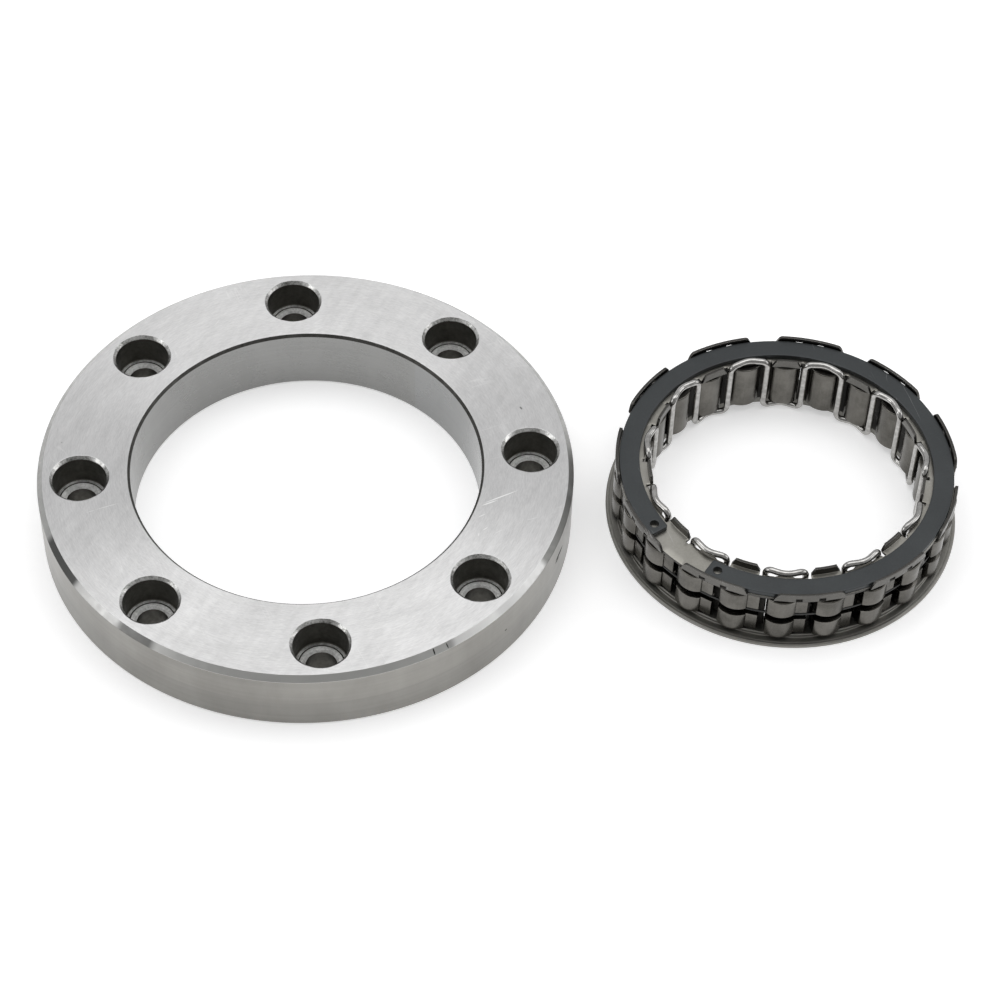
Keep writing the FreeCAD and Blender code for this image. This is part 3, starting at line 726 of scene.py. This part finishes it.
cage = {
    "centre": sum(corner[0] for corner in nodeBox("cage_flange")) / 2,
    "sprags": 22,
    "firstSprag": np.radians(3.2),
}
cage["pitch"] = fullTurn / cage["sprags"]


def addRevolved(surface, corners, radii, hold=0.15, steps=360):
    # a closed (radius, height) outline with rounded corners, turned once round the cage's axis
    around = np.linspace(0, fullTurn, steps + 1)[:-1]
    grid = revolved(roundedPath(corners, radii, 4, hold), around, cage["centre"])
    surface.addGrid(grid, closeRows=True, closeColumns=True)


def makeFlange():
    # flat ring with a raised land inside and a fine groove near its rim
    size = {
        "bore": 31.125, "top": 0.9, "land": 35.6, "landTop": 1.7,
        "groove": 37.1, "grooveDepth": 0.04, "grooveWidth": 0.07,
    }
    rim = nodeBox("cage_flange")[1][0] - cage["centre"]
    bore, land, top, landTop = size["bore"], size["land"], size["top"], size["landTop"]
    groove, depth, width = size["groove"], size["grooveDepth"], size["grooveWidth"]
    surface = Surface()
    corners = [
        (bore, 0), (rim, 0), (rim, top), (groove + width, top), (groove, top - depth),
        (groove - width, top), (land, top), (land, landTop), (bore, landTop),
    ]
    addRevolved(surface, corners, [0.15, 0.15, 0.3, 0.03, 0.03, 0.03, 0.2, 0.2, 0.2])
    surface.build("lowerPlate", ["flange"], "cage", "cage_flange")


def makeBars():
    # upright rounded strips between the two plates, one in each gap between sprags
    size = {"inner": 31.0, "outer": 33.0, "width": 1.95, "edge": 0.2, "shift": 0.06}
    low, high = nodeBox("cage_bars")
    half = size["width"] / 2
    inner, outer = size["inner"], size["outer"]
    corners = [(inner, -half), (outer, -half), (outer, half), (inner, half)]
    outline = roundedPath(corners, size["edge"], 4, 0.1) + np.array([0.0, size["shift"]])
    first = cage["firstSprag"] + cage["pitch"] / 2
    surface = Surface()
    grid = stacked(outline[None], np.linspace(low[2], high[2], 5))
    for bar in range(cage["sprags"]):
        surface.addTube(turned(grid, first + cage["pitch"] * bar, cage["centre"]))
    surface.build("cageBars", ["bar"], "cage", "cage_bars")


def makeTopPlate():
    # A sheet's middle surface over angle and a line of stations: flat, then bent up at the tabs.
    # Solidify gives the thickness and Bevel breaks the sheared edges.
    size = {
        "sheet": 0.6, "inner": 30.2, "reliefTo": 30.6, "edge": 35.8, "bend": 0.4,
        "outerTab": 36.2, "outerRoot": 12.0, "outerTip": 10.7, "innerTab": 29.3, "innerRoot": 6.0,
        "innerTip": 4.4, "innerTop": 15.6, "tabShift": 8.182, "relief": 1.7,
        "windowFrom": 2.65, "windowTo": 4.95, "windowFoot": 13.95, "windowHead": 14.85,
        "tabs": 11, "step": 1.1, "brokenEdge": 0.09,
    }
    low, high = nodeBox("cage_top_plate")
    middle = low[2] + size["sheet"] / 2
    bend = size["bend"]
    shift, half = size["tabShift"], 180 / size["tabs"]
    root, relief = size["innerRoot"], size["relief"]
    reliefIn = (shift - root - relief, shift - root)
    reliefOut = (shift + root, shift + root + relief)
    marks = np.array([half, size["outerRoot"], size["windowTo"], size["windowFrom"]])
    breaks = np.unique(np.round([*marks, *-marks, *reliefIn, *reliefOut], 6))
    columns = np.concatenate([
        np.linspace(a, b, int(np.ceil((b - a) / size["step"])) + 1)[:-1]
        for a, b in zip(breaks[:-1], breaks[1:])
    ] + [breaks[-1:]])
    mid = (columns[:-1] + columns[1:]) / 2

    def between(low, high):
        return (mid > low) & (mid < high)

    plateRadii = np.array([size["inner"], size["reliefTo"], 32.0, 34.0, size["edge"]])
    plate = joined(plateRadii[:, None], columns, middle)
    kept = np.ones((len(plateRadii) - 1, len(mid)), bool)
    kept[0] = ~(between(*reliefIn) | between(*reliefOut))

    def tab(start, wall, top, root, tip, centre, turnsOut):
        # stations: flat run, quarter bend, then straight up; the tab narrows as it rises
        sign = 1 if turnsOut else -1
        curve = np.linspace(0, quarterTurn, 6)
        bentRadius = wall - sign * bend + sign * bend * np.sin(curve)
        bentHeight = middle + bend * (1 - np.cos(curve))
        rise = np.array([size["windowHead"], (size["windowHead"] + top) / 2, top - 0.25, top])
        apart = bentRadius != start
        radius = np.concatenate([[start], bentRadius[apart], np.full(len(rise), wall)])
        height = np.concatenate([[middle], bentHeight[apart], rise])
        inside = (columns >= centre - root - 1e-5) & (columns <= centre + root + 1e-5)
        offset = (columns[inside] - centre) / root
        climb = np.clip((height - bentHeight[-1]) / (top - bentHeight[-1]), 0, 1)[:, None]
        narrowing = 1 - (1 - tip / root) * climb * offset**6
        angle = centre + offset * root * narrowing
        height = height[:, None] - 0.3 * climb**6 * offset**20
        return joined(radius[:, None], angle, height), mid[inside[:-1] & inside[1:]]

    outer, outerMid = tab(
        size["edge"], size["outerTab"], high[2], size["outerRoot"], size["outerTip"], 0.0, True
    )
    inner, _ = tab(
        size["inner"], size["innerTab"], size["innerTop"], size["innerRoot"], size["innerTip"],
        shift, False,
    )
    inWindow = (np.abs(outerMid) > size["windowFrom"]) & (np.abs(outerMid) < size["windowTo"])
    stationMid = (outer[:-1, 0, 2] + outer[1:, 0, 2]) / 2
    atWindow = (stationMid > size["windowFoot"] - 0.05) & (stationMid < size["windowHead"])
    windowHoles = atWindow[:, None] & inWindow
    surface = Surface()
    first = cage["firstSprag"] + cage["pitch"] / 2

    def place(grid, tabNumber):
        angle = np.radians(grid[..., 1]) + first + 2 * cage["pitch"] * tabNumber
        flat = onCircle(grid[..., 0], angle) + np.array([cage["centre"], 0])
        return np.concatenate([flat, grid[..., 2:]], -1)

    outerFinish = (stationMid > middle + 0.2).astype(int)  # flat run, then the upright tab, which takes the plate's steel painted darker as shade
    innerFinish = ((inner[:-1, 0, 2] + inner[1:, 0, 2]) / 2 > middle + 0.2).astype(int)
    for tabNumber in range(size["tabs"]):
        surface.addGrid(place(plate, tabNumber), keep=kept)
        surface.addGrid(place(outer, tabNumber), outerFinish, keep=~windowHoles)
        surface.addGrid(place(inner[::-1], tabNumber), innerFinish[::-1])
    # the sheet's rim takes the finish two places on, the broken edges take the last: bright steel,
    # partly wear and partly a painted highlight
    used = ["plate", "tab", "cutEdge", "cutEdge", "wornEdgeAndHighlight"]
    piece = surface.build("upperPlate", used, "cage", "cage_top_plate", outward=False)
    wall = piece.modifiers.new("sheet", "SOLIDIFY")
    wall.thickness = size["sheet"] * mm
    wall.offset = 0.0
    wall.material_offset_rim = 2
    edge = piece.modifiers.new("brokenEdges", "BEVEL")
    edge.width = size["brokenEdge"] * mm
    edge.segments = 2
    edge.limit_method = "ANGLE"
    edge.angle_limit = np.radians(45)
    edge.material = len(used) - 1


def makeBand():
    # flat spring band that lies in the sprags' grooves
    thickness = 0.4
    low, high = nodeBox("garter_band")
    outer = high[0] - cage["centre"]
    inner = outer - thickness
    surface = Surface()
    corners = [(inner, low[2]), (outer, low[2]), (outer, high[2]), (inner, high[2])]
    addRevolved(surface, corners, 0.1, 0.05)
    surface.build("springBand", ["band"], "cage", "garter_band")


def makeRing():
    # Split ring: one outline with rounded corners, a face of squares between its two arcs, and a
    # patch of face with a plier hole at each end.
    size = {
        "inner": 31.35, "outer": 35.65, "gapCentre": np.radians(224.8), "gap": np.radians(23.2),
        "corner": 0.6, "hole": 0.95, "inset": 2.1, "edge": 0.1, "patch": np.radians(7.5),
        "middle": 33.5, "turns": 321,
    }
    low, high = nodeBox("retaining_ring")
    foot, top = low[2], high[2]
    start = size["gapCentre"] + size["gap"] / 2
    span = fullTurn - size["gap"]
    edge = size["edge"]
    radii = np.linspace(size["inner"] + edge, size["outer"] - edge, 12)
    surface = Surface()

    def endLoop(grow):
        # anticlockwise from the patch line out to the ring's end and back, rounded at two corners
        inner, outer = size["inner"] + grow, size["outer"] - grow
        corner = size["corner"] - grow
        tilt = grow / size["middle"]
        cornerTurn = np.linspace(0, quarterTurn, 7)
        outerArc = onCircle(outer, np.linspace(size["patch"], tilt + (corner / outer), 25))
        innerArc = onCircle(inner, np.linspace(tilt + corner / inner, size["patch"], 25))
        outerCentre = onCircle(outer - corner, tilt + corner / outer)
        innerCentre = onCircle(inner + corner, tilt + corner / inner)
        cosine, sine = corner * np.cos(cornerTurn), corner * np.sin(cornerTurn)
        outerCorner = outerCentre + joined(cosine, -sine)
        innerCorner = innerCentre + joined(-sine, -cosine)
        across = innerCorner[0] - outerCorner[-1]
        straight = outerCorner[-1] + across * np.linspace(0, 1, 9)[1:-1, None]
        return np.concatenate([outerArc[:-1], outerCorner, straight, innerCorner, innerArc[1:]])

    faceEnd = endLoop(edge)
    patchLine = onCircle(radii, size["patch"])[1:-1]
    centre = onCircle(size["middle"], size["inset"] / size["middle"])
    boundary = np.concatenate([faceEnd, patchLine])
    hole = size["hole"]
    holePath = roundedPath(
        [(hole + 0.3, top), (hole, top), (hole, foot), (hole + 0.3, foot)],
        [0, 0.08, 0.08, 0], 3, closed=False,
    )
    patch = holePatch(centre, boundary, (top, foot), holePath, 4)
    inset, drop = quarterRound(edge)
    hold = edge + 0.12
    heights = np.concatenate([top - drop, [top - hold, foot + hold], (foot + drop)[::-1]])
    insets = np.concatenate([inset, [0, 0], inset[::-1]])
    sideWall = stacked(np.stack([endLoop(grow) for grow in insets]), heights)
    mirrored = np.array([1, -1, 1])
    for grid, closed in ((patch, True), (sideWall, False)):
        surface.addGrid(turned(grid, start, cage["centre"]), closeColumns=closed)
        surface.addGrid(turned(grid * mirrored, start + span, cage["centre"]), closeColumns=closed)
    turns = start + np.linspace(size["patch"], span - size["patch"], size["turns"])
    for height in (top, foot):
        surface.addGrid(revolved(joined(radii, height), turns, cage["centre"]))
    for radius, sign in ((size["outer"], -1), (size["inner"], 1)):
        wall = joined(radius + sign * insets, heights)
        surface.addGrid(revolved(wall, turns, cage["centre"]))
    node = body = "retaining_ring"
    surface.build("retainingRing", ["ring"], body, node, 34)


makeFlange()
makeBars()
makeTopPlate()
makeBand()
makeRing()
print("cage plates, bars, band and ring made")

sprag = {
    "pivot": 32.2, "barrel": 3.3, "innerArc": 4.6, "innerHalf": 3.3,
    "crest": 36.73, "humpArc": 4.4, "humpOffset": 0.57, "humpBack": 3.5, "humpFront": 2.4,
    "heelDrop": 0.4, "heelTilt": 0.25, "heelReach": 4.9, "heelThickness": 0.66, "heelRoot": 1.0,
    "grooveFloor": 34.0, "grooveHeight": 2.0, "endRound": 0.22, "lip": 0.13,
}


def spragOutline():
    # The hump's arc, a small step, the thin heel, a straight front, the inner face's flat arc whose
    # lowest point touches the barrel's circle about the rocking axis, and a straight back.
    # X runs outwards along the cage's radius and Y anticlockwise.
    barrel, hump = sprag["barrel"], sprag["humpArc"]
    humpCentre = np.array([sprag["crest"] - sprag["pivot"] - hump, -sprag["humpOffset"]])
    backTurn = np.arcsin((-sprag["humpBack"] - humpCentre[1]) / hump)
    frontTurn = np.arcsin((sprag["humpFront"] - humpCentre[1]) / hump)
    arcPoints = 17
    humpArc = humpCentre + onCircle(hump, np.linspace(backTurn, frontTurn, arcPoints))
    heelStart = humpArc[-1, 0] - sprag["heelDrop"]
    heelEnd = heelStart - sprag["heelTilt"]
    root = (sprag["heelRoot"], np.sqrt(barrel**2 - sprag["heelRoot"] ** 2))
    spread = np.arcsin(sprag["innerHalf"] / sprag["innerArc"])
    innerArc = onCircle(sprag["innerArc"], np.linspace(np.pi - spread, np.pi + spread, 19))
    innerArc = innerArc + np.array([sprag["innerArc"] - barrel, 0.0])
    heel = [
        (heelStart, sprag["humpFront"]),
        (heelEnd, sprag["heelReach"]),
        (heelEnd - sprag["heelThickness"], sprag["heelReach"]),
        root,
    ]
    corners = np.concatenate([humpArc, heel, innerArc])
    radii = np.zeros(len(corners))
    radii[0], radii[arcPoints - 1] = 0.3, 0.2  # the hump's two ends
    radii[arcPoints:arcPoints + len(heel)] = (0.15, 0.2, 0.2, 0.4)
    radii[arcPoints + len(heel)] = radii[-1] = 0.5  # the inner face's two ends
    return roundedPath(corners, radii, 4, 0.0)


def makeSprags():
    # The outline rises in stations: rounded ends, a body, and a groove where the outside falls to
    # its floor. The stations are made up to the middle and mirrored above it.
    outline = spragOutline()
    normals = outlineNormals(outline)
    low, high = nodeBox("sprag_01")
    foot, head = low[2], high[2]
    middle = (foot + head) / 2
    floor = sprag["grooveFloor"] - sprag["pivot"]
    outside = outline[:, 0] > floor
    backEnd, heelCut = outline[outside][0, 1], outline[outside][-1, 1]
    endInset, endRise = quarterRound(sprag["endRound"])
    half, lip = sprag["grooveHeight"] / 2, sprag["lip"]

    def shaped(inset, lipDrop=0.0, grooved=False):
        made = outline - normals * inset
        if lipDrop:
            made = np.where(outside[:, None], outline - normals * lipDrop, made)
        if grooved:
            groove = joined(floor, np.clip(outline[:, 1], backEnd, heelCut))
            made = np.where(outside[:, None], groove, made)
        return made

    grooveFoot = middle - half
    below = [(shaped(inset), foot + rise) for inset, rise in zip(endInset, endRise)]
    below += [
        (shaped(0), foot + sprag["endRound"] + 0.2), (shaped(0), grooveFoot - 2 * lip),
        (shaped(0), grooveFoot - lip), (shaped(0, lip * 0.3), grooveFoot - lip * 0.3),
        (shaped(0, lip), grooveFoot), (shaped(0, 0, True), grooveFoot),
        (shaped(0, 0, True), grooveFoot + 0.15),
    ]
    above = [(made, 2 * middle - height) for made, height in below[::-1]]
    outlines, heights = (np.array(part) for part in zip(*below, *above))
    grid = stacked(outlines, heights)
    used = ["sprag", "spragEndShade"]
    for number in range(cage["sprags"]):
        turn = cage["firstSprag"] + cage["pitch"] * number
        placed = turned(grid + np.array([sprag["pivot"], 0, 0]), turn, cage["centre"])
        name = f"sprag_{number + 1:02d}"
        surface = Surface()
        # the end caps take the darker end steel, painted shade
        surface.addTube(placed, capFinish=1)
        surface.build(f"camSprag{number + 1:02d}", used, name, name, 42)


makeSprags()
print("sprags made")


def makeSpring():
    # One round wire: straight legs between the sprags, joined over one sprag and under the next,
    # with true arcs at the bends. A circle is carried along the path, square to it.
    size = {
        "radius": 0.69, "leg": 29.3, "crown": 30.4, "foot": 1.1, "top": 15.08,
        "corner": 1.4, "crownBend": 5.0, "endGap": 1.0, "sides": 20,
    }
    legs = cage["sprags"]
    start = cage["firstSprag"] + cage["pitch"]
    leg = np.arange(legs)
    angle = start + (leg + 0.5) * cage["pitch"]
    rising = leg % 2 == 0
    near = np.where(rising, size["foot"], size["top"])
    far = np.where(rising, size["top"], size["foot"])
    gap = size["endGap"] / 2 / size["crown"]

    def cornerAt(radius, turns, height):
        return joined(radius * np.cos(turns), radius * np.sin(turns), height)

    perLeg = np.stack([
        cornerAt(size["leg"], angle, near),
        cornerAt(size["leg"], angle, far),
        cornerAt(size["crown"], angle + cage["pitch"] / 2, far),
    ], 1).reshape(-1, 3)[:-1]
    first = cornerAt(size["crown"], np.array([start + gap]), size["foot"])
    last = cornerAt(size["crown"], np.array([start + fullTurn - gap]), size["foot"])
    corners = np.concatenate([first, perLeg, last])
    bends = np.tile([size["corner"], size["corner"], size["crownBend"]], legs)[:-1]
    radii = np.concatenate([[0], bends, [0]])
    path = roundedPath(corners, radii, 8, 0.6, closed=False)
    along = unit(np.gradient(path, axis=0))
    outward = path * [1, 1, 0]
    outward = unit(outward - along * (outward * along).sum(1)[:, None])
    sideways = np.cross(along, outward)
    roundTurn = np.linspace(0, fullTurn, size["sides"] + 1)[:-1, None]
    circle = np.cos(roundTurn) * outward[:, None] + np.sin(roundTurn) * sideways[:, None]
    tube = path[:, None] + circle * size["radius"]
    tube[..., 0] += cage["centre"]
    surface = Surface()
    surface.addTube(tube)
    surface.build("bentWire", ["wire"], "cage", "energizing_spring", 50)


makeSpring()
print("spring made")


def whenSeen(*kinds):
    # 1 for rays from the camera and of these other kinds, and 0 for the rest
    rays = addNode("LightPath")
    return combined("MAXIMUM", (rays.outputs[f"Is {kind} Ray"] for kind in ("Camera", *kinds)))


def makeFloor():
    # a wide pale bench top; to the camera and in gloss it gives off a little light of its own, so
    # that it reads as white, and keeps the soft shadow
    size = {"half": 4000.0, "drop": 0.01, "colour": (0.86, 0.86, 0.86), "glow": 0.42}
    mesh = bpy.data.meshes.new("benchTop")
    half, drop = size["half"] * mm, size["drop"] * mm
    square = ((-half, -half), (half, -half), (half, half), (-half, half))
    mesh.from_pydata([(*corner, -drop) for corner in square], [], [(0, 1, 2, 3)])
    floor = addObject("benchTop", mesh)
    paper = newMaterial("paleBench")
    grain = mapRange(noise(300, 3.0), 0.3, 0.7)
    colour = mixColour(grain, tuple(0.985 * c for c in size["colour"]), size["colour"])
    matt = addNode("BsdfDiffuse", {"Color": colour})
    glow = addNode("Emission", {"Color": (1, 1, 1, 1), "Strength": size["glow"]})
    both = addNode("AddShader", {0: matt.outputs[0], 1: glow.outputs[0]})
    seen = whenSeen("Glossy", "Transmission")
    mixed = addNode("MixShader", {0: seen, 1: matt.outputs[0], 2: both.outputs[0]})
    addNode("OutputMaterial", {"Surface": mixed.outputs[0]})
    mesh.materials.append(paper)


def makeLights():
    # broad soft boxes: one high behind, one to each side; the room in front of the bench is dim
    boxes = {
        "overhead": {"at": (40, 180, 1100), "size": (1500, 900), "radiance": 1.3},
        "left": {"at": (-900, -220, 470), "size": (420, 520), "radiance": 1.6},
        "right": {"at": (1050, 60, 520), "size": (420, 600), "radiance": 1.3},
    }
    target = Vector((45 * mm, 0, 5 * mm))
    for name, box in boxes.items():
        lamp = bpy.data.lights.new(name, "AREA")
        lamp.shape = "RECTANGLE"
        lamp.size, lamp.size_y = (side * mm for side in box["size"])
        lamp.energy = box["radiance"] * np.pi * lamp.size * lamp.size_y
        placed = addObject(name, lamp)
        placed.location = Vector(box["at"]) * mm
        placed.rotation_euler = (target - placed.location).to_track_quat("-Z", "Y").to_euler()


def makeRoom():
    # pale room light from above, dimmer towards the front; plain white where the camera looks past
    # the bench
    room = {
        "sky": (0.78, 0.78, 0.79), "front": (0.42, 0.42, 0.42), "strength": 0.8,
        "dimWay": (0.0, -0.78, 0.62), "dimFrom": 0.45, "dimTo": 0.85,
    }
    world = bpy.data.worlds.new("room")
    bpy.context.scene.world = world
    openTree(world)
    way = addNode("TexCoord").outputs["Generated"]
    front = vectorMaths("DOT_PRODUCT", way, room["dimWay"], "Value")
    dim = mapRange(front, room["dimFrom"], room["dimTo"], smooth=True)
    colour = mixColour(dim, room["sky"], room["front"])
    light = addNode("Background", {"Color": colour, "Strength": room["strength"]})
    white = addNode("Background", {"Color": (1, 1, 1, 1), "Strength": 1.0})
    seen = whenSeen("Transmission")
    mixed = addNode("MixShader", {0: seen, 1: light.outputs[0], 2: white.outputs[0]})
    addNode("OutputWorld", {"Surface": mixed.outputs[0]})


def makeCamera():
    # stands in front and above; rolled slightly clockwise about its line of sight
    size = {
        "at": (21.50, -404.33, 486.46), "target": (41.45, 2.60, 0.0), "roll": np.radians(2.06),
        "lens": 105.38, "sensor": 36, "near": 0.01, "far": 50,
    }
    at, target = Vector(size["at"]) * mm, Vector(size["target"]) * mm
    ahead = (target - at).normalized()
    level = ahead.cross(Vector((0, 0, 1))).normalized()
    upright = level.cross(ahead)
    right = np.cos(size["roll"]) * level + np.sin(size["roll"]) * upright
    up = np.cos(size["roll"]) * upright - np.sin(size["roll"]) * level
    lens = bpy.data.cameras.new("bench")
    lens.sensor_width = size["sensor"]
    lens.lens = size["lens"]
    lens.clip_start, lens.clip_end = size["near"], size["far"]
    camera = addObject("bench", lens)
    camera.matrix_world = Matrix((right, up, -ahead)).transposed().to_4x4()
    camera.location = at
    bpy.context.scene.camera = camera


makeFloor()
makeLights()
makeRoom()
makeCamera()
bpy.context.scene.view_settings.view_transform = "Standard"
print("bench, lights and camera set")
